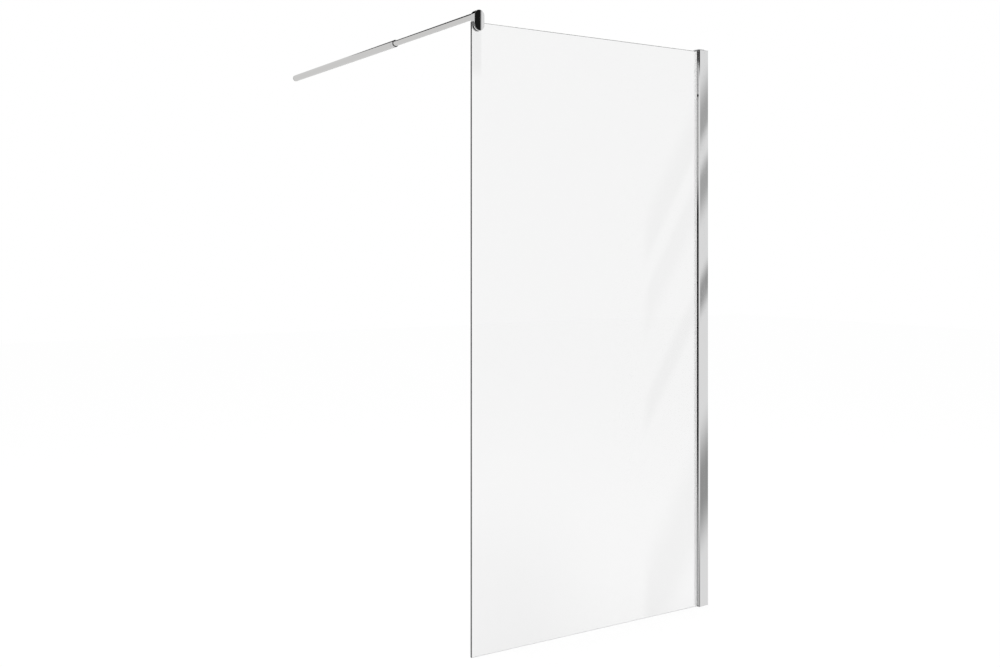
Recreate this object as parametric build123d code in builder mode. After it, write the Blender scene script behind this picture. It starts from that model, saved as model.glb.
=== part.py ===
from build123d import *
import os

# Walk-in shower screen: one clear glass panel, held at the wall by two interlocking profiles and
# steadied at its free edge by a clamp and a telescopic arm that runs to the opposite wall.
#
# The profile's wall face is X = 0 and the glass runs from it towards -X. The middle of the glass is
# Y = 0 and the arm runs towards +Y. Z = 0 is the shower tray. Sizes are in millimetres, and the
# screen is drawn in the middle of its adjustment at the wall.

os.makedirs("parts", exist_ok=True)

# Overall sizes
screen_width = 990.0  # wall face to the free edge of the glass
profile_height = 2000.0  # tray to the top of the profile's cap
glass_step = 6.0  # top of the glass below the top of the cap
arm_reach = 1495.0  # middle of the glass to the opposite wall
wall_adjustment = 7.0  # travel of the glass profile each way

# Glass
glass_thickness = 8.0
glass_arris = 0.7  # polished chamfer on every edge

# Profiles
profile_wall = 1.5
channel_wall = 1.4
seal_gap = 2.0  # between the glass and the wall of its channel
wall_gap = 20.0  # tail of the glass profile to the wall
glazing_depth = 14.0  # nose to the bottom of the glass channel
channel_clearance = 3.35  # channel to the wall profile's leg
leg_clearance = 0.25  # leg to the inside of the glass profile
nose_clearance = 0.4  # leg to the inside of the nose, pushed right in
slot_margin = 2.85  # end of an adjusting slot to the end of the leg
web_thickness = 2.2
rib_offset = 5.0
rib_thickness = 1.2
rib_height = 1.6
drill_groove = 0.5
bead_start = 2.0  # nose to the seal's bead groove
bead_width = 2.0
bead_depth = 0.6
bead_clearance = 0.1
nose_bevel = 6.0  # the shell's faces slope back to the nose over this length
nose_bevel_depth = 0.6
nose_radius = 0.6
edge_radius = 0.5
cut_margin = 1.0  # how far a cutting shape stands clear of the wall it cuts

# Glazing seals
seal_lip = 2.0  # how far the lip stands out of the nose
seal_shoulder = 0.7
seal_overlap = 0.3  # the front seal's head over the edge of its channel
seal_depth = 10.5
seal_taper = 1.5

# Setting blocks at the bottom of the glass channel
block_thickness = 2.0
block_length = 60.0
block_inset = 100.0  # end of the glass to the middle of the nearest block

# Profile caps
cap_plate = 1.2
cap_gap = 0.3  # between the two caps, and under the wall profile's cap
peg_depth = 12.0
peg_inset = 3.5  # bottom of the glass channel to the peg
peg_clearance = 0.3
peg_chamfer = 0.6

# Fixings of the wall profile
wall_hole_diameter = 5.5
wall_hole_inset = 100.0  # end of the profile to the nearest hole
wall_hole_count = 4

# Adjusting screws on the hidden side
adjusting_inset = 150.0  # end of the profile to the nearest screw
adjusting_count = 3
screw_inset = 5.0  # tail of the glass profile to the screws
screw_diameter = 4.0
screw_hole_clearance = 0.25
thread_clearance = 0.05
screw_head_diameter = 7.0
screw_head_height = 2.4
screw_protrusion = 1.0  # tip beyond the nut
recess_length = 3.5
recess_width = 0.9
recess_depth = 1.2
nut_size = 7.0
nut_thickness = 3.2
nut_clearance = 2.0  # nut to the back of the glass channel
cover_diameter = 10.0
cover_wall = 1.2
cover_head_clearance = 0.6
cover_chamfer = 0.8

# Clamp
clamp_edge_gap = 6.0  # free edge of the glass to the clamp's side
clamp_width = 36.0
clamp_below_glass = 27.5  # top of the glass to the clamp's lower end
clamp_rim = 4.0  # top of the inner tube to the clamp's upper end
clamp_jaw = 6.0
clamp_chamfer = 0.6
liner_thickness = 1.5
liner_inset = 0.4
plate_side = 4.0  # side of the clamp to the side of the plate's pocket
plate_top = 3.5  # top of the glass to the top of the pocket
plate_drop = 9.0  # centre of the clamp's lower arc to the bottom of the pocket
plate_thickness = 1.0
plate_clearance = 0.2
plate_corner = 1.0
clamp_screw_diameter = 6.0
clamp_screw_spacing = 15.0
clamp_screw_inset = 0.4
clamp_screw_key = 3.0

# Arm
arm_above_glass = 24.5
inner_diameter = 20.0
inner_wall = 1.2
tube_gap = 1.5  # radial, between the two tubes
outer_wall = 1.5
fit_clearance = 0.05  # radial, on every plug, bush and guide of the arm
tube_chamfer = 0.5
arm_closing = 530.0  # travel of the outer tube towards the glass
arm_opening = 80.0  # and away from it
closed_gap = 22.5  # clamp to the collar's mouth, with the arm pushed right in
end_gap = 1.0  # guide to the wall socket at least, with the arm pushed right in
open_overlap = 57.5  # collar's sleeve to the end of the inner tube, with the arm pulled right out
collar_length = 16.0
collar_sleeve = 14.0
collar_bore_clearance = 0.4
collar_chamfer = 0.3
bush_depth = 8.0
bush_wall = 1.65
bush_recess = 0.4
stud_diameter = 8.0
stud_depth = 14.0
spigot_length = 24.0
spigot_screw_diameter = 5.0
guide_ring = 10.0
guide_plug = 15.0
grub_diameter = 4.0
grub_inset = 0.3
socket_rim = 6.0
socket_barrel = 24.0
socket_wall = 3.0
socket_grub_position = 10.0  # rim to the grub screw
socket_hole_diameter = 5.5

# Places across the profiles, from the glass outwards
channel_half = glass_thickness / 2 + seal_gap
channel_outer = channel_half + channel_wall
leg_inner = channel_outer + channel_clearance
leg_outer = leg_inner + profile_wall
shell_inner = leg_outer + leg_clearance
shell_outer = shell_inner + profile_wall
nose_half = shell_outer - nose_bevel_depth

# Places along the profiles, from the wall towards the glass. The nose clears both the leg, when it
# is pushed right in, and the nuts behind the glass channel.
tail_x = -wall_gap
adjusting_x = tail_x - screw_inset
slot_width = screw_diameter + 2 * screw_hole_clearance
leg_end_x = adjusting_x - wall_adjustment - slot_width / 2 - slot_margin
nose_x = min(
    leg_end_x - nose_clearance - wall_adjustment - profile_wall,
    adjusting_x - nut_size / 2 - nut_clearance - profile_wall - glazing_depth,
)
channel_end_x = nose_x + glazing_depth
glass_edge_x = channel_end_x - block_thickness

# Heights of the glass, the profiles and their fixings
glass_height = profile_height - glass_step
glass_profile_top = profile_height - 2 * cap_plate - 2 * cap_gap
wall_profile_top = glass_profile_top + cap_gap
cap_plate_z = profile_height - cap_plate


def spread(inset, count, height):
    """Heights at equal spacing, from one inset above the bottom to one below the top."""
    return [inset + i * (height - 2 * inset) / (count - 1) for i in range(count)]


wall_hole_heights = spread(wall_hole_inset, wall_hole_count, profile_height)
screw_places = [(adjusting_x, z) for z in spread(adjusting_inset, adjusting_count, profile_height)]
block_heights = spread(block_inset, 3, glass_height)

# Places of the clamp
clamp_x = -screen_width + clamp_edge_gap + clamp_width / 2
clamp_slot = glass_thickness + 2 * liner_thickness
clamp_back = clamp_slot / 2 + clamp_jaw
clamp_top_z = glass_height + arm_above_glass + inner_diameter / 2 + clamp_rim
clamp_bottom_z = glass_height - clamp_below_glass
clamp_height = clamp_top_z - clamp_bottom_z
clamp_middle_z = (clamp_top_z + clamp_bottom_z) / 2
clamp_slot_top = glass_height + liner_thickness
pocket_top_z = glass_height - plate_top
pocket_bottom_z = clamp_bottom_z + clamp_width / 2 - plate_drop
plate_width = clamp_width - 2 * plate_side
plate_height = pocket_top_z - pocket_bottom_z
plate_z = (pocket_top_z + pocket_bottom_z) / 2
clamp_screw_places = [(clamp_x + side * clamp_screw_spacing / 2, plate_z) for side in (-1, 1)]

# Places along the arm, from the clamp to the opposite wall
arm_z = glass_height + arm_above_glass
arm_place = (clamp_x, arm_z)
inner_bore = inner_diameter / 2 - inner_wall
outer_bore = inner_diameter / 2 + tube_gap
outer_radius = outer_bore + outer_wall
collar_position = clamp_back + closed_gap + arm_closing
outer_start = collar_position + collar_length
outer_end = arm_reach - socket_rim
inner_end = min(
    outer_start + collar_sleeve + arm_opening + open_overlap,
    outer_end - socket_barrel - arm_closing - guide_ring - end_gap,
)
collar_bore = inner_diameter / 2 + collar_bore_clearance
bush_inner = inner_diameter / 2 + fit_clearance
bush_outer = bush_inner + bush_wall
spigot_screw_y = clamp_back + spigot_length / 2
collar_screw_y = collar_position + (bush_depth + collar_length) / 2
socket_grub_y = outer_end - socket_grub_position


def finish(builder, name):
    """Labels a finished piece and writes it to its own file."""
    builder.part.label = name
    export_step(builder.part, f"parts/{name}.step")


def facing_back(y):
    """The plane across the arm at y, drawn in X and Z, whose extrusions run towards +Y."""
    return Plane(origin=(0, y, 0), x_dir=(-1, 0, 0), z_dir=(0, 1, 0))


def at(x, z):
    """A place on a plane that faces back."""
    return (-x, z)


def under_arm(y):
    """The plane below the arm's axis at y, whose extrusions run up towards the axis."""
    return Plane(origin=(clamp_x, y, arm_z - 2 * outer_radius), x_dir=(1, 0, 0), z_dir=(0, 0, 1))


# Wall profile: a channel with a ribbed web, slotted on its hidden leg
with BuildPart() as wall_profile:
    with BuildSketch() as wall_section:
        with BuildLine():
            Polyline(
                (-web_thickness + drill_groove, 0),
                (0, 0),
                (0, leg_outer),
                (leg_end_x, leg_outer),
                (leg_end_x, leg_inner),
                (-web_thickness, leg_inner),
                (-web_thickness, rib_offset + rib_thickness),
                (-web_thickness - rib_height, rib_offset + rib_thickness),
                (-web_thickness - rib_height, rib_offset),
                (-web_thickness, rib_offset),
                (-web_thickness, drill_groove),
                close=True,
            )
        make_face()
        mirror(about=Plane.XZ)
        fillet(wall_section.vertices().group_by(Axis.X)[0], edge_radius)
    extrude(amount=wall_profile_top)
    with BuildSketch(Plane.YZ):
        with Locations(*[(0, z) for z in wall_hole_heights]):
            Circle(wall_hole_diameter / 2)
    extrude(amount=-web_thickness, mode=Mode.SUBTRACT)
    with BuildSketch(facing_back(leg_inner - cut_margin)):
        with Locations(*[at(x, z) for x, z in screw_places]):
            SlotOverall(slot_width + 2 * wall_adjustment, slot_width)
    extrude(amount=profile_wall + 2 * cut_margin, mode=Mode.SUBTRACT)
finish(wall_profile, "wall_profile")

# Glass profile: an outer shell over the wall profile, and the glass channel inside it
with BuildPart() as glass_profile:
    with BuildSketch() as glass_section:
        with BuildLine():
            Polyline(
                (channel_end_x, 0),
                (channel_end_x, channel_half),
                (nose_x + bead_start + bead_width, channel_half),
                (nose_x + bead_start + bead_width, channel_half + bead_depth),
                (nose_x + bead_start, channel_half + bead_depth),
                (nose_x + bead_start, channel_half),
                (nose_x, channel_half),
                (nose_x, nose_half),
                (nose_x + nose_bevel, shell_outer),
                (tail_x, shell_outer),
                (tail_x, shell_inner),
                (nose_x + profile_wall, shell_inner),
                (nose_x + profile_wall, channel_outer),
                (channel_end_x + profile_wall, channel_outer),
                (channel_end_x + profile_wall, 0),
                close=True,
            )
        make_face()
        mirror(about=Plane.XZ)
        nose_corners = glass_section.vertices().group_by(Axis.X)[0].sort_by(Axis.Y)
        fillet([nose_corners[0], nose_corners[-1]], nose_radius)
        fillet(glass_section.vertices().group_by(Axis.X)[-1], edge_radius)
    extrude(amount=glass_profile_top)
    with BuildSketch(facing_back(shell_inner - leg_clearance / 2)):
        with Locations(*[at(x, z) for x, z in screw_places]):
            Circle(screw_diameter / 2 + screw_hole_clearance)
    extrude(amount=profile_wall + cut_margin, mode=Mode.SUBTRACT)
finish(glass_profile, "glass_profile")

# Glass panel with polished edges
with BuildPart() as glass_panel:
    with BuildSketch():
        with Locations(((glass_edge_x - screen_width) / 2, 0)):
            Rectangle(screen_width + glass_edge_x, glass_thickness)
    extrude(amount=glass_height)
    chamfer(glass_panel.edges(), glass_arris)
finish(glass_panel, "glass_panel")

# Glazing seals: a head with a lip on the glass, a bead in the channel's groove and a tapered heel.
# The back seal's head runs on over the end of the hidden leg.
front_head = channel_half + seal_overlap
back_head = nose_half - nose_radius
for name, side, head_end in (("front_seal", -1, front_head), ("back_seal", 1, back_head)):
    with BuildPart() as seal:
        with BuildSketch():
            with BuildLine():
                glass_face = side * glass_thickness / 2
                channel_face = side * channel_half
                bead_face = side * (channel_half + bead_depth - bead_clearance)
                bead_front = nose_x + bead_start + bead_clearance
                bead_back = nose_x + bead_start + bead_width - bead_clearance
                Polyline(
                    (nose_x - seal_lip, glass_face),
                    (nose_x - seal_shoulder, side * (head_end - seal_shoulder)),
                    (nose_x, side * head_end),
                    (nose_x, channel_face),
                    (bead_front, channel_face),
                    (bead_front, bead_face),
                    (bead_back, bead_face),
                    (bead_back, channel_face),
                    (nose_x + seal_depth - seal_taper, channel_face),
                    (nose_x + seal_depth, glass_face),
                    close=True,
                )
            make_face()
        extrude(amount=glass_height)
    finish(seal, name)

# Setting blocks between the glass edge and the bottom of the channel
with BuildPart() as setting_blocks:
    with Locations(*[((glass_edge_x + channel_end_x) / 2, 0, z) for z in block_heights]):
        Box(block_thickness, glass_thickness, block_length)
finish(setting_blocks, "setting_blocks")

# Cap of the glass profile: a lid on the shell's rim, with a peg over the end of the glass
with BuildPart() as glass_profile_cap:
    with BuildSketch(Plane.XY.offset(glass_profile_top)) as cap_outline:
        with BuildLine():
            Polyline(
                (nose_x, -nose_half),
                (nose_x, nose_half),
                (nose_x + nose_bevel, shell_outer),
                (tail_x, shell_outer),
                (tail_x, -shell_outer),
                (nose_x + nose_bevel, -shell_outer),
                close=True,
            )
        make_face()
        fillet(cap_outline.vertices().group_by(Axis.X)[0], nose_radius)
    extrude(amount=profile_height - glass_profile_top)
    cap_rim = glass_profile_cap.faces().sort_by(Axis.Z)[-1].edges().sort_by(Axis.X)[:-1]
    chamfer(cap_rim, edge_radius)
    with BuildSketch(Plane.XY.offset(glass_profile_top)):
        with Locations(((nose_x + profile_wall + tail_x + cut_margin) / 2, 0)):
            Rectangle(tail_x + cut_margin - nose_x - profile_wall, 2 * shell_inner)
    extrude(amount=cap_plate_z - glass_profile_top, mode=Mode.SUBTRACT)
    peg_start = nose_x + profile_wall
    peg_end = channel_end_x - peg_inset
    with BuildSketch(Plane.XY.offset(glass_height + peg_clearance)):
        with Locations(((peg_start + peg_end) / 2, 0)):
            Rectangle(peg_end - peg_start, 2 * (channel_half - peg_clearance))
    extrude(amount=cap_plate_z - glass_height - peg_clearance)
finish(glass_profile_cap, "glass_profile_cap")

# Cap of the wall profile, which slides under the other one
with BuildPart() as wall_profile_cap:
    wall_cap_reach = wall_gap + wall_adjustment
    with BuildSketch(Plane.XY.offset(wall_profile_top)):
        with Locations((-wall_cap_reach / 2, 0)):
            Rectangle(wall_cap_reach, 2 * leg_outer)
    extrude(amount=cap_plate)
    wall_peg_start = web_thickness + rib_height + peg_clearance
    wall_peg_end = wall_gap / 2
    with BuildSketch(Plane.XY.offset(wall_profile_top)):
        with Locations((-(wall_peg_start + wall_peg_end) / 2, 0)):
            Rectangle(wall_peg_end - wall_peg_start, 2 * (leg_inner - peg_clearance))
    extrude(amount=-peg_depth)
    chamfer(wall_profile_cap.faces().sort_by(Axis.Z)[0].edges(), peg_chamfer)
finish(wall_profile_cap, "wall_profile_cap")

# Adjusting screws with cross recesses, their square nuts and their covers
with BuildPart() as adjusting_screws:
    nut_face = leg_inner - thread_clearance
    screw_tip = nut_face - nut_thickness - screw_protrusion
    head_top = shell_outer + screw_head_height
    with BuildSketch(facing_back(screw_tip)):
        with Locations(*[at(x, z) for x, z in screw_places]):
            Circle(screw_diameter / 2)
    extrude(amount=shell_outer - screw_tip)
    with BuildSketch(facing_back(shell_outer)):
        with Locations(*[at(x, z) for x, z in screw_places]):
            Circle(screw_head_diameter / 2)
    extrude(amount=screw_head_height)
    with BuildSketch(facing_back(head_top - recess_depth)):
        with Locations(*[at(x, z) for x, z in screw_places]):
            Rectangle(recess_length, recess_width)
            Rectangle(recess_width, recess_length)
    extrude(amount=screw_head_height, mode=Mode.SUBTRACT)
finish(adjusting_screws, "adjusting_screws")

with BuildPart() as adjusting_nuts:
    with BuildSketch(facing_back(nut_face - nut_thickness)):
        with Locations(*[at(x, z) for x, z in screw_places]):
            Rectangle(nut_size, nut_size)
            Circle(screw_diameter / 2 + thread_clearance, mode=Mode.SUBTRACT)
    extrude(amount=nut_thickness)
finish(adjusting_nuts, "adjusting_nuts")

with BuildPart() as screw_covers:
    cover_cavity = screw_head_height + cover_head_clearance
    with BuildSketch(facing_back(shell_outer)):
        with Locations(*[at(x, z) for x, z in screw_places]):
            Circle(cover_diameter / 2)
    extrude(amount=cover_cavity + cover_wall)
    chamfer(screw_covers.faces().group_by(Axis.Y)[-1].edges(), cover_chamfer)
    with BuildSketch(facing_back(shell_outer)):
        with Locations(*[at(x, z) for x, z in screw_places]):
            Circle(cover_diameter / 2 - cover_wall)
    extrude(amount=cover_cavity, mode=Mode.SUBTRACT)
finish(screw_covers, "screw_covers")

# Clamp: an obround block, slotted from below for the glass and its liner
with BuildPart() as clamp_body:
    with BuildSketch(Plane.XZ):
        with Locations((clamp_x, clamp_middle_z)):
            SlotOverall(clamp_height, clamp_width, rotation=90)
    extrude(amount=clamp_back, both=True)
    chamfer(clamp_body.faces().filter_by(Axis.Y).edges(), clamp_chamfer)
    slot_bottom = clamp_bottom_z - cut_margin
    with BuildSketch(Plane.YZ.offset(clamp_x)):
        with Locations((0, (clamp_slot_top + slot_bottom) / 2)):
            Rectangle(clamp_slot, clamp_slot_top - slot_bottom)
    extrude(amount=clamp_width, both=True, mode=Mode.SUBTRACT)
    with BuildSketch(facing_back(clamp_slot / 2)):
        with Locations(at(clamp_x, plate_z)):
            Rectangle(plate_width, plate_height)
    extrude(amount=plate_thickness, mode=Mode.SUBTRACT)
    with BuildSketch(facing_back(clamp_slot / 2)):
        with Locations(*[at(x, z) for x, z in clamp_screw_places]):
            Circle(clamp_screw_diameter / 2 + thread_clearance)
    extrude(amount=clamp_jaw + cut_margin, mode=Mode.SUBTRACT)
    with BuildSketch(facing_back(clamp_back - stud_depth)):
        with Locations(at(*arm_place)):
            Circle(stud_diameter / 2 + thread_clearance)
    extrude(amount=stud_depth + cut_margin, mode=Mode.SUBTRACT)
finish(clamp_body, "clamp_body")

# Rubber liner, folded over the top edge of the glass
with BuildPart() as clamp_liner:
    with BuildSketch(Plane.XZ):
        with Locations((clamp_x, clamp_middle_z)):
            SlotOverall(clamp_height - 2 * liner_inset, clamp_width - 2 * liner_inset, rotation=90)
    extrude(amount=clamp_slot / 2, both=True)
    split(bisect_by=Plane.XY.offset(clamp_slot_top), keep=Keep.BOTTOM)
    with BuildSketch(Plane.YZ.offset(clamp_x)):
        with Locations((0, (glass_height + slot_bottom) / 2)):
            Rectangle(glass_thickness, glass_height - slot_bottom)
    extrude(amount=clamp_width, both=True, mode=Mode.SUBTRACT)
finish(clamp_liner, "clamp_liner")

# Pressure plate in its pocket, and the two grub screws that push on it
with BuildPart() as clamp_plate:
    with BuildSketch(facing_back(clamp_slot / 2)):
        with Locations(at(clamp_x, plate_z)):
            RectangleRounded(
                plate_width - 2 * plate_clearance, plate_height - 2 * plate_clearance, plate_corner
            )
    extrude(amount=plate_thickness)
finish(clamp_plate, "clamp_plate")

with BuildPart() as clamp_screws:
    clamp_screw_start = clamp_slot / 2 + plate_thickness
    clamp_screw_length = clamp_back - clamp_screw_inset - clamp_screw_start
    with BuildSketch(facing_back(clamp_screw_start)):
        with Locations(*[at(x, z) for x, z in clamp_screw_places]):
            Circle(clamp_screw_diameter / 2)
    extrude(amount=clamp_screw_length)
    with BuildSketch(facing_back(clamp_screw_start + clamp_screw_length / 2)):
        with Locations(*[at(x, z) for x, z in clamp_screw_places]):
            RegularPolygon(clamp_screw_key / 2, 6, major_radius=False)
    extrude(amount=clamp_screw_length, mode=Mode.SUBTRACT)
finish(clamp_screws, "clamp_screws")

# Spigot: a stud in the clamp and a barrel in the inner tube, locked by a screw from below
with BuildPart() as arm_spigot:
    with BuildSketch(facing_back(clamp_back - stud_depth)):
        with Locations(at(*arm_place)):
            Circle(stud_diameter / 2)
    extrude(amount=stud_depth)
    with BuildSketch(facing_back(clamp_back)):
        with Locations(at(*arm_place)):
            Circle(inner_bore - fit_clearance)
    extrude(amount=spigot_length)
    with BuildSketch(under_arm(spigot_screw_y)):
        Circle(spigot_screw_diameter / 2 + thread_clearance)
    extrude(amount=2 * outer_radius, mode=Mode.SUBTRACT)
finish(arm_spigot, "arm_spigot")


def grub_screw(name, y, radius, inner_reach, outer_reach):
    """A grub screw from below, between two distances from the arm's axis, with a hexagon socket."""
    with BuildPart() as grub:
        with BuildSketch(under_arm(y).offset(2 * outer_radius - outer_reach)):
            Circle(radius)
        extrude(amount=outer_reach - inner_reach)
        with BuildSketch(under_arm(y).offset(2 * outer_radius - outer_reach)):
            RegularPolygon(radius / 2, 6, major_radius=False)
        extrude(amount=(outer_reach - inner_reach) / 2, mode=Mode.SUBTRACT)
    finish(grub, name)


spigot_reach = inner_diameter / 2 - grub_inset
grub_screw("spigot_screw", spigot_screw_y, spigot_screw_diameter / 2, inner_bore / 2, spigot_reach)

# Inner tube, and the guide on its hidden end
with BuildPart() as inner_tube:
    with BuildSketch(facing_back(clamp_back)):
        with Locations(at(*arm_place)):
            Circle(inner_diameter / 2)
            Circle(inner_bore, mode=Mode.SUBTRACT)
    extrude(amount=inner_end - clamp_back)
    with BuildSketch(under_arm(spigot_screw_y)):
        Circle(spigot_screw_diameter / 2 + screw_hole_clearance)
    extrude(amount=2 * outer_radius, mode=Mode.SUBTRACT)
finish(inner_tube, "inner_tube")

with BuildPart() as inner_tube_guide:
    with BuildSketch(facing_back(inner_end - guide_plug)):
        with Locations(at(*arm_place)):
            Circle(inner_bore - fit_clearance)
    extrude(amount=guide_plug)
    with BuildSketch(facing_back(inner_end)):
        with Locations(at(*arm_place)):
            Circle(outer_bore - fit_clearance)
    extrude(amount=guide_ring)
    chamfer(inner_tube_guide.faces().sort_by(Axis.Y)[-1].edges(), tube_chamfer)
finish(inner_tube_guide, "inner_tube_guide")

# Outer tube
with BuildPart() as outer_tube:
    with BuildSketch(facing_back(outer_start)):
        with Locations(at(*arm_place)):
            Circle(outer_radius)
            Circle(outer_bore, mode=Mode.SUBTRACT)
    extrude(amount=outer_end - outer_start)
    outer_rims = outer_tube.edges().filter_by(GeomType.CIRCLE).group_by(SortBy.RADIUS)[-1]
    chamfer(outer_rims, tube_chamfer)
    with BuildSketch(under_arm(socket_grub_y)):
        Circle(grub_diameter / 2 + screw_hole_clearance)
    extrude(amount=2 * outer_radius, mode=Mode.SUBTRACT)
finish(outer_tube, "outer_tube")

# Collar: a ring at the mouth of the outer tube, with a sleeve inside it and a seat for the bush
with BuildPart() as collar:
    with BuildSketch(facing_back(collar_position)):
        with Locations(at(*arm_place)):
            Circle(outer_radius)
    extrude(amount=collar_length)
    chamfer(collar.faces().sort_by(Axis.Y)[0].edges(), collar_chamfer)
    with BuildSketch(facing_back(outer_start)):
        with Locations(at(*arm_place)):
            Circle(outer_bore - fit_clearance)
    extrude(amount=collar_sleeve)
    with BuildSketch(facing_back(collar_position)):
        with Locations(at(*arm_place)):
            Circle(collar_bore)
    extrude(amount=collar_length + collar_sleeve, mode=Mode.SUBTRACT)
    with BuildSketch(facing_back(collar_position)):
        with Locations(at(*arm_place)):
            Circle(bush_outer + fit_clearance)
    extrude(amount=bush_depth, mode=Mode.SUBTRACT)
    with BuildSketch(under_arm(collar_screw_y)):
        Circle(grub_diameter / 2 + thread_clearance)
    extrude(amount=2 * outer_radius, mode=Mode.SUBTRACT)
finish(collar, "collar")

with BuildPart() as collar_bush:
    with BuildSketch(facing_back(collar_position + bush_recess)):
        with Locations(at(*arm_place)):
            Circle(bush_outer)
            Circle(bush_inner, mode=Mode.SUBTRACT)
    extrude(amount=bush_depth - bush_recess)
finish(collar_bush, "collar_bush")

grub_screw("collar_screw", collar_screw_y, grub_diameter / 2, bush_inner, outer_radius - grub_inset)

# Wall socket: a rim against the wall and a hollow barrel in the outer tube
with BuildPart() as wall_socket:
    socket_bore = outer_bore - fit_clearance - socket_wall
    with BuildSketch(facing_back(outer_end)):
        with Locations(at(*arm_place)):
            Circle(outer_radius)
    extrude(amount=socket_rim)
    chamfer(wall_socket.faces().sort_by(Axis.Y)[0].edges(), tube_chamfer)
    with BuildSketch(facing_back(outer_end - socket_barrel)):
        with Locations(at(*arm_place)):
            Circle(outer_bore - fit_clearance)
            Circle(socket_bore, mode=Mode.SUBTRACT)
    extrude(amount=socket_barrel)
    with BuildSketch(facing_back(outer_end)):
        with Locations(at(*arm_place)):
            Circle(socket_hole_diameter / 2)
    extrude(amount=socket_rim, mode=Mode.SUBTRACT)
    with BuildSketch(under_arm(socket_grub_y)):
        Circle(grub_diameter / 2 + thread_clearance)
    extrude(amount=2 * outer_radius, mode=Mode.SUBTRACT)
finish(wall_socket, "wall_socket")

grub_screw("socket_grub", socket_grub_y, grub_diameter / 2, socket_bore, outer_radius - grub_inset)
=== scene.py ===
import logging
import math
from dataclasses import dataclass, field
from enum import Enum
from typing import Optional, Sequence

import bmesh
import bpy
import numpy as np
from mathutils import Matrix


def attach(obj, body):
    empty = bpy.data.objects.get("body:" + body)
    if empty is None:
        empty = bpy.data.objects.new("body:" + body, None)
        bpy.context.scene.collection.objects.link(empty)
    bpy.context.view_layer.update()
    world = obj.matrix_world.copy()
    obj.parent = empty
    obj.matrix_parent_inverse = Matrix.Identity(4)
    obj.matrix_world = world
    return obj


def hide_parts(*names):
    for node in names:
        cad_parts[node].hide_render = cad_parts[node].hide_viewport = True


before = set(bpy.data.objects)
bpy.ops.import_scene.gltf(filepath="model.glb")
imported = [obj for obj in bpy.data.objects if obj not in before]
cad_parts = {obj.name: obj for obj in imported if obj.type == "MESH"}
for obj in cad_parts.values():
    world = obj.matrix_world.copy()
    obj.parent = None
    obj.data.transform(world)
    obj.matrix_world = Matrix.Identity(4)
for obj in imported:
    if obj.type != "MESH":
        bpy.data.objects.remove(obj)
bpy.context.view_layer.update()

MM = 0.001
MERGE_STEP = 2e-6  # corners nearer than this are one corner, in metres
FLAT_ANGLE = math.radians(0.5)  # faces that turn less than this are one flat face
CREASE_ANGLE = math.radians(30)  # edges that turn more than this stay sharp
GLASS_INDEX = 1.5

log = logging.getLogger("shower_screen")

Colour = tuple[float, float, float]
Point = tuple[float, float, float]


class Body(Enum):
    """The CAD bodies that a piece can ride on."""

    WALL_FRAME = "wall_frame"
    SCREEN = "screen"
    ARM_TUBE = "arm_tube"


class Slot(Enum):
    """The record's two material slot names, which no piece here is given."""

    CHROME = "polished_chrome"
    COVER = "chrome_cover"


# Node trees


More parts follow.
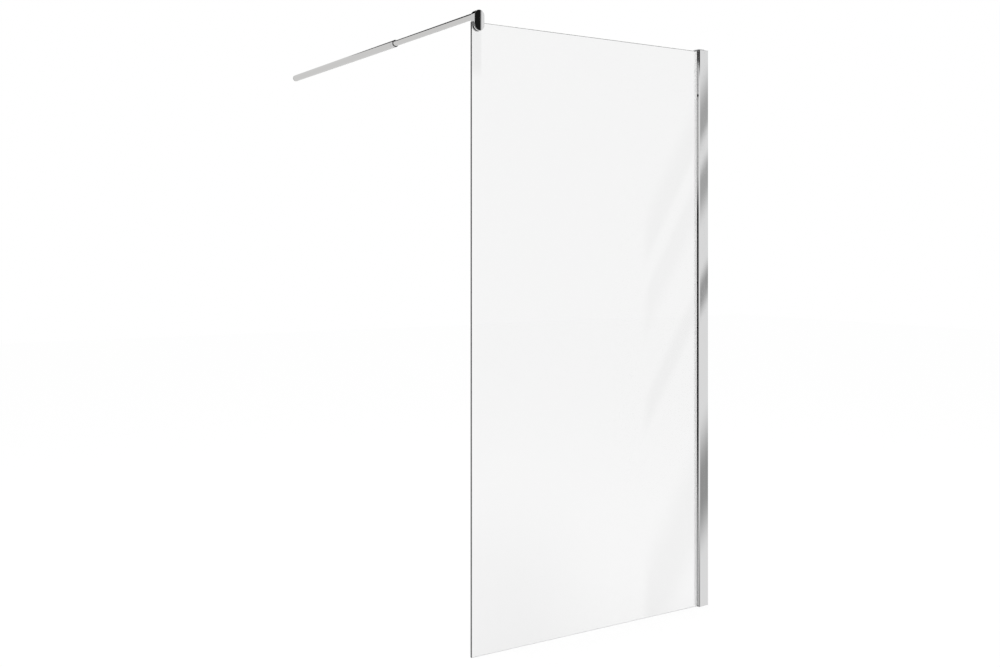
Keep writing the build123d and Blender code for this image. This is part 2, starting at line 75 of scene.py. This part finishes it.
class Graph:
    """Short ways to place and wire nodes in one node tree."""

    def __init__(self, tree: bpy.types.NodeTree) -> None:
        """Holds the tree that the nodes go in.

        Args:
            tree: A material's, world's or group's node tree.
        """
        self.tree = tree

    def node(self, kind: str, inputs: Optional[dict] = None, **settings) -> bpy.types.Node:
        """Places a node.

        Args:
            kind: The node's type, such as ShaderNodeMath.
            inputs: Socket name or number to a constant, or to an output socket to link.
            settings: Properties of the node.

        Returns:
            The new node.
        """
        made = self.tree.nodes.new(kind)
        for name, value in settings.items():
            setattr(made, name, value)
        for name, value in (inputs or {}).items():
            self.feed(made.inputs[name], value)
        return made

    def feed(self, socket: bpy.types.NodeSocket, value: object) -> None:
        """Links an output to a socket, or sets the socket to a constant.

        Args:
            socket: The input socket.
            value: An output socket, a number or a tuple.
        """
        if isinstance(value, bpy.types.NodeSocket):
            self.tree.links.new(value, socket)
        else:
            socket.default_value = value

    def math(self, operation: str, *values: object) -> bpy.types.NodeSocket:
        """One Math node.

        Args:
            operation: The node's operation, such as MULTIPLY.
            values: Its inputs in order, constants or output sockets.

        Returns:
            The node's output.
        """
        return self.node(
            "ShaderNodeMath", dict(enumerate(values)), operation=operation
        ).outputs[0]

    def fade(self, value: object, start: object, end: object) -> bpy.types.NodeSocket:
        """A smooth step: 0 where value is at start, 1 where it is at end.

        Args:
            value: The value that is read.
            start: Where the step begins.
            end: Where it ends.

        Returns:
            The step's output, from 0 to 1.
        """
        return self.node(
            "ShaderNodeMapRange",
            {"Value": value, "From Min": start, "From Max": end},
            interpolation_type="SMOOTHSTEP",
        ).outputs["Result"]

    def between(self, share: object, low: object, high: object) -> bpy.types.NodeSocket:
        """A straight mix of two numbers.

        Args:
            share: 0 gives low and 1 gives high.
            low: The first number.
            high: The second number.

        Returns:
            The mixed number.
        """
        return self.node(
            "ShaderNodeMix", {"Factor": share, "A": low, "B": high}, data_type="FLOAT"
        ).outputs["Result"]

    def tint(self, share: object, low: Colour, high: Colour) -> bpy.types.NodeSocket:
        """A straight mix of two colours.

        Args:
            share: 0 gives low and 1 gives high.
            low: The first colour.
            high: The second colour.

        Returns:
            The mixed colour.
        """
        return self.blend(share, (*low, 1.0), (*high, 1.0))

    def blend(self, share: object, low: object, high: object) -> bpy.types.NodeSocket:
        """A straight mix of two colours, either of which can be another node's output.

        Args:
            share: 0 gives low and 1 gives high.
            low: The first colour, as four numbers or an output socket.
            high: The second colour.

        Returns:
            The mixed colour.
        """
        made = self.node("ShaderNodeMix", {"Factor": share}, data_type="RGBA")
        self.feed(made.inputs[6], low)
        self.feed(made.inputs[7], high)
        return made.outputs[2]

    def place(self) -> bpy.types.NodeSocket:
        """The point on the surface in the object's own coordinates, in metres."""
        return self.node("ShaderNodeTexCoord").outputs["Object"]

    def group(self, tree: bpy.types.NodeTree, **inputs: object) -> bpy.types.bpy_prop_collection:
        """Places a node group.

        Args:
            tree: The group's tree.
            inputs: Input name to a constant or an output socket.

        Returns:
            The group's outputs, by name.
        """
        return self.node("ShaderNodeGroup", inputs, node_tree=tree).outputs


def new_group(
    name: str, takes: dict[str, str], gives: dict[str, str]
) -> tuple[Graph, bpy.types.Node, bpy.types.Node]:
    """Starts a shader node group.

    Args:
        name: The group's name.
        takes: Input name to socket type.
        gives: Output name to socket type.

    Returns:
        The group's graph, its input node and its output node.
    """
    tree = bpy.data.node_groups.new(name, "ShaderNodeTree")
    for label, kind in takes.items():
        tree.interface.new_socket(label, in_out="INPUT", socket_type=kind)
    for label, kind in gives.items():
        tree.interface.new_socket(label, in_out="OUTPUT", socket_type=kind)
    graph = Graph(tree)
    return graph, graph.node("NodeGroupInput"), graph.node("NodeGroupOutput")


class Effects:
    """The surface effects that several finishes share, each a shader node group built once."""

    FLOAT = "NodeSocketFloat"
    VECTOR = "NodeSocketVector"

    def __init__(self) -> None:
        """Builds every group."""
        self.polish_lines = self._polish_lines()
        self.handling_film = self._handling_film()
        self.moulded_grain = self._moulded_grain()

    def _polish_lines(self) -> bpy.types.NodeTree:
        """Hair-fine lines left by polishing or drawing: noise squeezed along the work's direction.

        Returns:
            The group. Density is lines per metre along each axis.
        """
        graph, source, result = new_group(
            "polish_lines",
            {"Place": self.VECTOR, "Density": self.VECTOR},
            {"Lines": self.FLOAT},
        )
        squeezed = graph.node(
            "ShaderNodeVectorMath",
            {0: source.outputs["Place"], 1: source.outputs["Density"]},
            operation="MULTIPLY",
        )
        noise = graph.node(
            "ShaderNodeTexNoise",
            {"Vector": squeezed.outputs[0], "Scale": 1.0, "Detail": 3.0, "Roughness": 0.6},
        )
        graph.feed(result.inputs["Lines"], graph.fade(noise.outputs[0], 0.38, 0.68))
        return graph.tree

    def _handling_film(self) -> bpy.types.NodeTree:
        """The faint film that wiping and water leave: small noise inside large noise.

        Returns:
            The group. Size is patches per metre.
        """
        graph, source, result = new_group(
            "handling_film",
            {"Place": self.VECTOR, "Size": self.FLOAT},
            {"Film": self.FLOAT, "Tone": self.FLOAT},
        )
        patches = graph.node(
            "ShaderNodeTexNoise",
            {"Vector": source.outputs["Place"], "Scale": source.outputs["Size"], "Detail": 4.0},
        )
        fine = graph.node(
            "ShaderNodeTexNoise",
            {
                "Vector": source.outputs["Place"],
                "Scale": graph.math("MULTIPLY", source.outputs["Size"], 9.0),
                "Detail": 2.0,
            },
        )
        film = graph.math(
            "MULTIPLY",
            graph.fade(patches.outputs[0], 0.45, 0.7),
            graph.fade(fine.outputs[0], 0.3, 0.7),
        )
        graph.feed(result.inputs["Film"], film)
        graph.feed(result.inputs["Tone"], patches.outputs[0])
        return graph.tree

    def _moulded_grain(self) -> bpy.types.NodeTree:
        """The skin of a moulded or extruded plastic: fine spark-eroded grain and slow flow marks.

        Returns:
            The group. Grain and Flow are features per metre.
        """
        graph, source, result = new_group(
            "moulded_grain",
            {"Place": self.VECTOR, "Grain": self.FLOAT, "Flow": self.FLOAT},
            {"Height": self.FLOAT, "Tone": self.FLOAT},
        )
        grain = graph.node(
            "ShaderNodeTexNoise",
            {"Vector": source.outputs["Place"], "Scale": source.outputs["Grain"], "Detail": 2.0},
        )
        flow = graph.node(
            "ShaderNodeTexNoise",
            {
                "Vector": source.outputs["Place"],
                "Scale": source.outputs["Flow"],
                "Detail": 3.0,
                "Distortion": 0.6,
            },
        )
        graph.feed(result.inputs["Height"], grain.outputs[0])
        graph.feed(result.inputs["Tone"], flow.outputs[0])
        return graph.tree


@dataclass(frozen=True)
class Finish:
    """What every finish has: a name, two colours that it varies between and a roughness range."""

    name: str
    colour: Colour
    shade: Colour
    smooth: float
    rough: float

    def start(self) -> tuple[bpy.types.Material, Graph, bpy.types.Node, bpy.types.Node]:
        """Makes an empty material with a Principled shader and its output.

        Returns:
            The material, its graph, the Principled node and the output node.
        """
        material = bpy.data.materials.new(self.name)
        material.use_nodes = True
        material.node_tree.nodes.clear()
        graph = Graph(material.node_tree)
        shader = graph.node("ShaderNodeBsdfPrincipled")
        output = graph.node("ShaderNodeOutputMaterial")
        graph.feed(output.inputs["Surface"], shader.outputs["BSDF"])
        return material, graph, shader, output


@dataclass(frozen=True)
class PlatedFinish(Finish):
    """A bright plated or ground metal, with polishing lines, a faint film and a little unevenness."""

    density: Point = (2500.0, 2500.0, 60.0)
    film_size: float = 14.0
    line_depth: float = 0.02
    line_height: float = 0.1 * MM
    film_share: float = 0.7

    def material(self, effects: Effects) -> bpy.types.Material:
        """Makes the material.

        Args:
            effects: The shared node groups.

        Returns:
            The material.
        """
        material, graph, shader, _ = self.start()
        place = graph.place()
        lines = graph.group(effects.polish_lines, Place=place, Density=self.density)["Lines"]
        film = graph.group(effects.handling_film, Place=place, Size=self.film_size)
        wear = graph.math(
            "ADD",
            graph.math("MULTIPLY", film["Film"], self.film_share),
            graph.math("MULTIPLY", lines, 1.0 - self.film_share),
        )
        graph.feed(shader.inputs["Base Color"], graph.tint(film["Tone"], self.colour, self.shade))
        graph.feed(shader.inputs["Roughness"], graph.between(wear, self.smooth, self.rough))
        shader.inputs["Metallic"].default_value = 1.0
        bump = graph.node(
            "ShaderNodeBump",
            {"Height": lines, "Strength": self.line_depth, "Distance": self.line_height},
        )
        graph.feed(shader.inputs["Normal"], bump.outputs["Normal"])
        return material


@dataclass(frozen=True)
class MouldedFinish(Finish):
    """A moulded or extruded plastic or rubber, with grain and flow marks.

    Glow is painted light: an emission that stands in for light which milky vinyl carries along from the
    glass.
    The dark band is painted shade: from a level on Y towards -Y the seal is darkened where the gap
    between it and the profile's nose lies in shade.
    """

    grain: float = 2800.0
    flow: float = 60.0
    grain_depth: float = 0.25
    grain_height: float = 0.2 * MM
    index: float = 1.5
    mirror: float = 0.5
    # Painted light: an emission strength for a seal, which is no lamp.
    glow: float = 0.0
    # Painted shade of the gap between the seal and the nose: where it starts, how soft its edge is, and
    # its colour.
    gap_shade_start: Optional[float] = None
    gap_shade_soft: float = 0.1 * MM
    gap_shade_colour: Colour = (0.006, 0.006, 0.006)

    def material(self, effects: Effects) -> bpy.types.Material:
        """Makes the material.

        Args:
            effects: The shared node groups.

        Returns:
            The material.
        """
        material, graph, shader, _ = self.start()
        skin = graph.group(effects.moulded_grain, Place=graph.place(), Grain=self.grain, Flow=self.flow)
        tone = graph.tint(skin["Tone"], self.colour, self.shade)
        # Painted shade: the seal is darkened towards -Y, where the gap beside the profile's nose lies
        # in shade.
        if self.gap_shade_start is not None:
            across = graph.node("ShaderNodeSeparateXYZ", {0: graph.place()}).outputs["Y"]
            in_gap_shade = graph.fade(across, self.gap_shade_start, self.gap_shade_start - self.gap_shade_soft)
            tone = graph.blend(in_gap_shade, tone, (*self.gap_shade_colour, 1.0))
        graph.feed(shader.inputs["Base Color"], tone)
        graph.feed(shader.inputs["Roughness"], graph.between(skin["Tone"], self.smooth, self.rough))
        shader.inputs["IOR"].default_value = self.index
        shader.inputs["Specular IOR Level"].default_value = self.mirror
        # Painted light: the seal glows by an emission of its own, standing in for light that milky
        # vinyl carries along from the glass.
        if self.glow:
            shader.inputs["Emission Color"].default_value = (1.0, 1.0, 1.0, 1.0)
            shader.inputs["Emission Strength"].default_value = self.glow
        bump = graph.node(
            "ShaderNodeBump",
            {"Height": skin["Height"], "Strength": self.grain_depth, "Distance": self.grain_height},
        )
        graph.feed(shader.inputs["Normal"], bump.outputs["Normal"])
        return material


@dataclass(frozen=True)
class GlassFinish(Finish):
    """Clear toughened glass that lets lamps through, with a faint neutral absorption inside.

    The ground edges get tones of their own: edge, nearly black, at the free end is painted shade, and
    long_edge, a pale grey, at the top and bottom.
    """

    absorption: float = 8.4
    mirror: float = 0.2
    lamp_share: float = 0.92
    film_size: float = 5.0
    half_thickness: float = 4.0 * MM
    arris: tuple[float, float] = (0.05 * MM, 0.2 * MM)
    free_end: float = -989.5 * MM
    free_soft: float = 0.5 * MM
    # Painted shade: the free end's edge is made nearly black.
    edge: Colour = (0.05, 0.055, 0.054)
    long_edge: Colour = (0.72, 0.74, 0.735)
    edge_rough: float = 0.12

    def material(self, effects: Effects) -> bpy.types.Material:
        """Makes the material.

        Args:
            effects: The shared node groups.

        Returns:
            The material.
        """
        material, graph, shader, output = self.start()
        place = graph.place()
        film = graph.group(effects.handling_film, Place=place, Size=self.film_size)
        faces = graph.tint(film["Tone"], self.colour, self.shade)
        spot = graph.node("ShaderNodeSeparateXYZ", {0: place}).outputs
        depth = graph.math("ABSOLUTE", spot["Y"])
        start, full = (self.half_thickness - inset for inset in self.arris)
        on_edge = graph.fade(depth, start, full)
        free_end = graph.fade(spot["X"], self.free_end + self.free_soft, self.free_end)
        # Painted shade at the free end: its edge goes nearly black, while the top and bottom edges keep
        # a pale grey.
        edge = graph.tint(free_end, self.long_edge, self.edge)
        graph.feed(shader.inputs["Base Color"], graph.blend(on_edge, faces, edge))
        haze = graph.between(film["Film"], self.smooth, self.rough)
        graph.feed(shader.inputs["Roughness"], graph.between(on_edge, haze, self.edge_rough))
        shader.inputs["IOR"].default_value = GLASS_INDEX
        shader.inputs["Specular IOR Level"].default_value = self.mirror
        shader.inputs["Transmission Weight"].default_value = 1.0
        clear = graph.node("ShaderNodeBsdfTransparent", {"Color": (self.lamp_share,) * 3 + (1.0,)})
        path = graph.node("ShaderNodeLightPath")
        lets_lamps = graph.node(
            "ShaderNodeMixShader",
            {0: path.outputs["Is Shadow Ray"], 1: shader.outputs["BSDF"], 2: clear.outputs[0]},
        )
        graph.feed(output.inputs["Surface"], lets_lamps.outputs[0])
        inside = graph.node(
            "ShaderNodeVolumeAbsorption", {"Color": (0.0, 0.0, 0.0, 1.0), "Density": self.absorption}
        )
        graph.feed(output.inputs["Volume"], inside.outputs[0])
        return material


CHROME_COLOURS = ((0.80, 0.80, 0.80), (0.785, 0.787, 0.79))
CHROME_UPRIGHT = PlatedFinish(
    "chrome_drawn_upright", *CHROME_COLOURS, smooth=0.015, rough=0.045,
    density=(2500.0, 2500.0, 40.0), film_size=14.0, line_depth=0.003,
)
CHROME_ARM = PlatedFinish(
    "chrome_drawn_arm", (0.80, 0.795, 0.785), (0.785, 0.78, 0.77), smooth=0.02, rough=0.06,
    density=(2500.0, 40.0, 2500.0), film_size=14.0, line_depth=0.01,
)
CHROME_CAST = PlatedFinish(
    "chrome_cast_clamp", *CHROME_COLOURS, smooth=0.004, rough=0.012,
    density=(700.0, 700.0, 700.0), film_size=50.0, line_depth=0.0005,
)
CHROME_TURNED = PlatedFinish(
    "chrome_turned", *CHROME_COLOURS, smooth=0.015, rough=0.045,
    density=(900.0, 3000.0, 900.0), film_size=40.0, line_depth=0.004,
)
STEEL = PlatedFinish(
    "zinc_plated_steel", (0.62, 0.62, 0.60), (0.50, 0.51, 0.50), smooth=0.18, rough=0.34,
    density=(1800.0, 1800.0, 1800.0), film_size=120.0, line_depth=0.1,
)
BRASS = PlatedFinish(
    "turned_brass", (0.75, 0.58, 0.30), (0.66, 0.49, 0.24), smooth=0.16, rough=0.3,
    density=(1500.0, 4000.0, 1500.0), film_size=90.0, line_depth=0.1,
)
GREY_CAP = MouldedFinish(
    "moulded_grey_cap", (0.42, 0.42, 0.43), (0.36, 0.36, 0.37), smooth=0.32, rough=0.45
)
RUBBER = MouldedFinish(
    "black_liner_rubber", (0.008, 0.008, 0.009), (0.016, 0.016, 0.017), smooth=0.6, rough=0.8,
    grain=1800.0, flow=90.0, grain_depth=0.4, mirror=0.2,
)
BLACK_NYLON = MouldedFinish(
    "black_nylon", (0.006, 0.006, 0.007), (0.012, 0.012, 0.013), smooth=0.4, rough=0.55, mirror=0.2
)
WHITE_NYLON = MouldedFinish(
    "white_nylon", (0.82, 0.82, 0.80), (0.76, 0.76, 0.73), smooth=0.35, rough=0.5
)
VINYL_COLOURS = ((0.99, 0.99, 0.99), (0.97, 0.97, 0.97))
VINYL_SKIN = {
    "smooth": 0.35, "rough": 0.5, "grain": 900.0, "flow": 40.0, "grain_depth": 0.1, "index": 1.4,
}
# The back seal's glow is painted light: an emission in place of light carried along from the glass.
BACK_SEAL = MouldedFinish("milky_seal_vinyl_painted_glow", *VINYL_COLOURS, **VINYL_SKIN, glow=0.2)
# The dark band below -5.15 mm is painted shade of the gap between the seal and the nose.
FRONT_SEAL = MouldedFinish("seal_vinyl_painted_gap_shade", *VINYL_COLOURS, **VINYL_SKIN, gap_shade_start=-5.15 * MM)
GLASS = GlassFinish(
    "clear_toughened_glass", (1.0, 1.0, 1.0), (0.995, 0.995, 0.995), smooth=0.0, rough=0.004
)


# Studio


def linear(tone: float) -> float:
    """A display tone from 0 to 255 as linear light: the standard display curve undone."""
    share = tone / 255.0
    return share / 12.92 if share <= 0.04045 else ((share + 0.055) / 1.055) ** 2.4


@dataclass(frozen=True)
class Flag:
    """A soft-edged card that shiny surfaces see, in degrees. Slant tilts its level edges."""

    level: float
    azimuth: float
    half_width: float
    low: float
    high: float
    side_soft: float = 2.0
    low_soft: float = 2.0
    high_soft: float = 2.0
    slant: float = 0.0


@dataclass
class Studio:
    """Camera, light, backdrop and floor."""

    camera_place: Point = (-2.7786, -2.9671, 1.2652)
    heading: float = -32.58
    lens: float = 39.78
    shift: float = -0.0794
    mirror_share: float = 0.80
    base_tone: float = 216.0
    diffuse_level: float = 0.78
    lamp_power: float = 60.0
    lamp_place: Point = (-0.9, -0.4, 4.6)
    lamp_size: tuple[float, float] = (4.0, 3.0)
    floor_half: float = 14.0
    floor_glow: float = 1.04
    shadow_share: float = 0.16
    white: tuple[float, float, float, float] = (1.0, 1.0, 1.0, 1.0)
    flags: Sequence[Flag] = field(
        default_factory=lambda: (
            # what the profile's front faces show
            Flag(160, -47.0, 2.6, 6.5, 7.1, 0.6, 1.0, 2.4, 2.2),
            Flag(160, -47.0, 2.6, 3.4, 4.0, 0.6, 2.0, 1.0, 2.2),
            Flag(148, -47.0, 2.6, -2.0, -1.6, 0.6, 1.2, 1.2, 2.2),
            Flag(143, -47.0, 2.6, -12.2, -11.1, 0.6, 3.0, 3.5, 2.2),
            Flag(140, -61.0, 4.0, -40.0, -17.5, 6.0, 10.0, 7.0),
            # what the arm shows
            Flag(199, 92.0, 40.0, -36.0, 26.0, 8.0, 10.0, 3.0),
            Flag(2, 75.0, 45.0, 27.0, 80.0, 6.0, 0.6, 10.0),
            Flag(12, 26.0, 38.0, 1.0, 70.0, 3.0, 3.0, 10.0),
            # what the profile's nose shows
            Flag(3, 133.0, 6.0, -8.5, 1.9, 3.0, 8.0, 2.5),
            Flag(60, 133.0, 5.0, 9.9, 24.0, 3.0, 0.5, 3.0),
            # what the rounded corners of the nose and of the clamp's end show
            Flag(6, -160.0, 35.0, -60.0, 60.0, 3.0, 10.0, 10.0),
            # what the clamp's front and the collar show
            Flag(25, -73.0, 14.55, 9.8, 70.0, 0.1, 1.0, 10.0),
        )
    )

    def make(self) -> None:
        """Makes the camera, the world, the lamp and the floor."""
        self.make_camera()
        self.make_world()
        self.make_lamp()
        self.make_floor()
        bpy.context.scene.view_settings.view_transform = "Standard"

    def make_camera(self) -> None:
        """Places a level camera at the photograph's viewpoint."""
        data = bpy.data.cameras.new("camera")
        data.lens, data.sensor_width, data.sensor_fit = self.lens, 36.0, "HORIZONTAL"
        data.shift_y = self.shift
        data.clip_start, data.clip_end = 0.05, 100.0
        camera = bpy.data.objects.new("camera", data)
        bpy.context.collection.objects.link(camera)
        camera.location = self.camera_place
        camera.rotation_euler = (math.radians(90), 0.0, math.radians(self.heading))
        bpy.context.scene.camera = camera

    def flag_group(self) -> bpy.types.NodeTree:
        """The mask of one flag: a smooth step at each of its four edges, multiplied.

        Returns:
            The node group.
        """
        takes = (
            "Azimuth", "Elevation", "Mid", "Half", "Side Soft",
            "Low", "High", "Low Soft", "High Soft", "Slant",
        )
        graph, source, result = new_group(
            "soft_flag", {name: "NodeSocketFloat" for name in takes}, {"Mask": "NodeSocketFloat"}
        )
        given = source.outputs
        off = graph.math("WRAP", graph.math("SUBTRACT", given["Azimuth"], given["Mid"]), 180.0, -180.0)
        outer = graph.math("ADD", given["Half"], given["Side Soft"])
        side = graph.fade(graph.math("ABSOLUTE", off), outer, given["Half"])
        level = graph.math("SUBTRACT", given["Elevation"], graph.math("MULTIPLY", off, given["Slant"]))
        above = graph.fade(level, graph.math("SUBTRACT", given["Low"], given["Low Soft"]), given["Low"])
        below = graph.fade(level, graph.math("ADD", given["High"], given["High Soft"]), given["High"])
        graph.feed(
            result.inputs["Mask"], graph.math("MULTIPLY", side, graph.math("MULTIPLY", above, below))
        )
        return graph.tree

    def make_world(self) -> None:
        """White behind the object, a plain level of light, and flags for shiny surfaces only."""
        world = bpy.data.worlds.new("studio")
        bpy.context.scene.world = world
        world.use_nodes = True
        world.node_tree.nodes.clear()
        world.cycles.sampling_method = "NONE"
        graph = Graph(world.node_tree)
        direction = graph.node("ShaderNodeTexCoord").outputs["Generated"]
        ray = graph.node("ShaderNodeSeparateXYZ", {0: direction})
        azimuth = graph.math("DEGREES", graph.math("ARCTAN2", ray.outputs["Y"], ray.outputs["X"]))
        elevation = graph.math("DEGREES", graph.math("ARCSINE", ray.outputs["Z"]))
        group = self.flag_group()
        seen: object = linear(self.base_tone) / self.mirror_share
        for flag in self.flags:
            mask = graph.node("ShaderNodeGroup", node_tree=group)
            values = (
                azimuth, elevation, flag.azimuth, flag.half_width, flag.side_soft,
                flag.low, flag.high, flag.low_soft, flag.high_soft, flag.slant,
            )
            for socket, value in zip(mask.inputs, values):
                graph.feed(socket, value)
            seen = graph.between(mask.outputs["Mask"], seen, linear(flag.level) / self.mirror_share)
        path = graph.node("ShaderNodeLightPath")
        direct = graph.math(
            "MULTIPLY",
            graph.math("MAXIMUM", path.outputs["Is Camera Ray"], path.outputs["Is Transmission Ray"]),
            graph.math("LESS_THAN", path.outputs["Glossy Depth"], 0.5),
        )
        mirrored = graph.math("GREATER_THAN", path.outputs["Glossy Depth"], 0.5)
        level = graph.between(mirrored, self.diffuse_level, seen)
        level = graph.between(direct, level, 1.0)
        background = graph.node("ShaderNodeBackground", {"Color": self.white, "Strength": level})
        output = graph.node("ShaderNodeOutputWorld")
        graph.feed(output.inputs["Surface"], background.outputs[0])

    def make_lamp(self) -> None:
        """A large soft lamp overhead, which shiny surfaces don't see."""
        data = bpy.data.lights.new("overhead", "AREA")
        data.shape, data.energy = "RECTANGLE", self.lamp_power
        data.size, data.size_y = self.lamp_size
        lamp = bpy.data.objects.new("overhead", data)
        bpy.context.collection.objects.link(lamp)
        lamp.location = self.lamp_place
        lamp.visible_glossy = False
        lamp.visible_camera = False

    def make_floor(self) -> None:
        """A pale floor that shows white and keeps a faint share of the object's shadow.

        Rays that a shiny surface has sent back pass it, so that they meet the flags alone.
        """
        half = self.floor_half
        corners = half * np.array([(-1, -1, 0), (1, -1, 0), (1, 1, 0), (-1, 1, 0)], float)
        mesh = bpy.data.meshes.new("floor")
        mesh.from_pydata(corners, [], [(0, 1, 2, 3)])
        floor = bpy.data.objects.new("floor", mesh)
        bpy.context.collection.objects.link(floor)
        floor.visible_glossy = False
        material = bpy.data.materials.new("pale_floor")
        material.use_nodes = True
        material.node_tree.nodes.clear()
        graph = Graph(material.node_tree)
        grain = graph.node("ShaderNodeTexNoise", {"Vector": graph.place(), "Scale": 3.0, "Detail": 4.0})
        tone = graph.tint(grain.outputs[0], (0.96, 0.96, 0.96), (0.94, 0.94, 0.94))
        lit = graph.node("ShaderNodeBsdfDiffuse", {"Color": tone})
        glow = graph.node("ShaderNodeEmission", {"Color": self.white, "Strength": self.floor_glow})
        path = graph.node("ShaderNodeLightPath")
        seen = graph.math("MAXIMUM", path.outputs["Is Camera Ray"], path.outputs["Is Transmission Ray"])
        share = graph.math("MULTIPLY", seen, 1.0 - self.shadow_share)
        shown = graph.node("ShaderNodeMixShader", {0: share, 1: lit.outputs[0], 2: glow.outputs[0]})
        mirrored = graph.math("GREATER_THAN", path.outputs["Glossy Depth"], 0.5)
        open_air = graph.node("ShaderNodeBsdfTransparent")
        mixed = graph.node(
            "ShaderNodeMixShader", {0: mirrored, 1: shown.outputs[0], 2: open_air.outputs[0]}
        )
        output = graph.node("ShaderNodeOutputMaterial")
        graph.feed(output.inputs["Surface"], mixed.outputs[0])
        mesh.materials.append(material)


# Pieces


def dress(node: str, material: bpy.types.Material) -> None:
    """Gives a CAD node its finish.

    Args:
        node: The node's name.
        material: The finish.
    """
    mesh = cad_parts[node].data
    if len(mesh.materials):
        for number in range(len(mesh.materials)):
            mesh.materials[number] = material
    else:
        mesh.materials.append(material)
    log.info("%s: %s", node, material.name)


def merged_mesh(node: str, name: str) -> bpy.types.Mesh:
    """A copy of a CAD node's mesh with its loose triangles merged where their corners meet.

    Args:
        node: The node's name.
        name: The new mesh's name.

    Returns:
        The merged mesh.
    """
    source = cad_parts[node].data
    places = np.zeros(len(source.vertices) * 3)
    source.vertices.foreach_get("co", places)
    corners = np.zeros(len(source.loops), np.int32)
    source.loops.foreach_get("vertex_index", corners)
    places = places.reshape(-1, 3)
    steps = np.round(places / MERGE_STEP).astype(np.int64)
    _, first, same = np.unique(steps, axis=0, return_index=True, return_inverse=True)
    faces = same.reshape(-1)[corners].reshape(-1, 3)
    whole = (faces != np.roll(faces, 1, axis=1)).all(axis=1)
    faces = faces[whole]
    mesh = bpy.data.meshes.new(name)
    mesh.from_pydata(places[first], [], faces)
    mesh.update()
    return mesh


def smooth_piece(
    node: str, name: str, body: Body, material: bpy.types.Material, rounding: float = 0.0
) -> bpy.types.Object:
    """Stands in for a CAD node with its own shape, smooth between its creases.

    Args:
        node: The CAD node.
        name: The new piece's name.
        body: The body it rides on.
        material: Its finish.
        rounding: Width of the soft edge in metres, 0 for none.

    Returns:
        The new piece.
    """
    mesh = merged_mesh(node, name)
    if rounding:
        work = bmesh.new()
        work.from_mesh(mesh)
        bmesh.ops.dissolve_limit(work, angle_limit=FLAT_ANGLE, verts=work.verts, edges=work.edges)
        work.to_mesh(mesh)
        work.free()
    mesh.polygons.foreach_set("use_smooth", np.ones(len(mesh.polygons), bool))
    mesh.set_sharp_from_angle(angle=CREASE_ANGLE)
    mesh.materials.append(material)
    piece = bpy.data.objects.new(name, mesh)
    bpy.context.collection.objects.link(piece)
    if rounding:
        edge = piece.modifiers.new("soft_edges", "BEVEL")
        edge.width, edge.segments, edge.limit_method = rounding, 3, "ANGLE"
        edge.angle_limit = CREASE_ANGLE
        edge.harden_normals = True
    weighted = piece.modifiers.new("flat_faces_first", "WEIGHTED_NORMAL")
    weighted.keep_sharp = True
    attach(piece, body.value)
    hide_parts(node)
    log.info("%s for %s: %d faces", name, node, len(mesh.polygons))
    return piece


@dataclass
class WallProfile:
    """The two interlocking extrusions at the wall, with their caps, screws, nuts and covers."""

    upright: bpy.types.Material
    turned: bpy.types.Material
    cap: bpy.types.Material
    steel: bpy.types.Material

    def build(self) -> None:
        """Builds and dresses the pieces."""
        dress("wall_profile", self.upright)
        dress("glass_profile", self.upright)
        smooth_piece("screw_covers", "cover_caps", Body.SCREEN, self.turned)
        dress("glass_profile_cap", self.cap)
        dress("wall_profile_cap", self.cap)
        dress("adjusting_screws", self.steel)
        dress("adjusting_nuts", self.steel)


@dataclass
class GlassPanel:
    """The glass with the seals and setting blocks that hold it."""

    glass: bpy.types.Material
    front: bpy.types.Material
    back: bpy.types.Material
    nylon: bpy.types.Material

    def build(self) -> None:
        """Builds and dresses the pieces."""
        dress("glass_panel", self.glass)
        dress("front_seal", self.front)
        dress("back_seal", self.back)
        dress("setting_blocks", self.nylon)


@dataclass
class Clamp:
    """The clamp at the glass's free corner."""

    chrome: bpy.types.Material
    rubber: bpy.types.Material
    steel: bpy.types.Material
    brass: bpy.types.Material
    rounding: float = 0.35 * MM

    def build(self) -> None:
        """Builds and dresses the pieces."""
        smooth_piece(
            "clamp_body", "clamp_casting", Body.SCREEN, self.chrome, self.rounding
        )
        dress("clamp_liner", self.rubber)
        dress("clamp_plate", self.steel)
        dress("clamp_screws", self.steel)
        dress("arm_spigot", self.brass)
        dress("spigot_screw", self.steel)


@dataclass
class SupportArm:
    """The telescopic arm, from the clamp to the wall socket."""

    drawn: bpy.types.Material
    turned: bpy.types.Material
    nylon: bpy.types.Material
    steel: bpy.types.Material

    def build(self) -> None:
        """Builds and dresses the pieces."""
        smooth_piece("inner_tube", "inner_arm_tube", Body.SCREEN, self.drawn)
        smooth_piece("outer_tube", "outer_arm_tube", Body.ARM_TUBE, self.drawn)
        smooth_piece("collar", "locking_collar", Body.ARM_TUBE, self.turned)
        smooth_piece("wall_socket", "wall_foot", Body.ARM_TUBE, self.turned)
        dress("inner_tube_guide", self.nylon)
        dress("collar_bush", self.nylon)
        dress("collar_screw", self.steel)
        dress("socket_grub", self.steel)


def main() -> None:
    """Builds the studio and every piece in order."""
    logging.basicConfig(level=logging.INFO, format="%(name)s %(message)s")
    effects = Effects()
    Studio().make()
    turned = CHROME_TURNED.material(effects)
    steel = STEEL.material(effects)
    WallProfile(CHROME_UPRIGHT.material(effects), turned, GREY_CAP.material(effects), steel).build()
    front, back = FRONT_SEAL.material(effects), BACK_SEAL.material(effects)
    GlassPanel(GLASS.material(effects), front, back, WHITE_NYLON.material(effects)).build()
    cast, rubber, brass = (finish.material(effects) for finish in (CHROME_CAST, RUBBER, BRASS))
    Clamp(cast, rubber, steel, brass).build()
    SupportArm(CHROME_ARM.material(effects), turned, BLACK_NYLON.material(effects), steel).build()


if __name__ == "__main__":
    main()
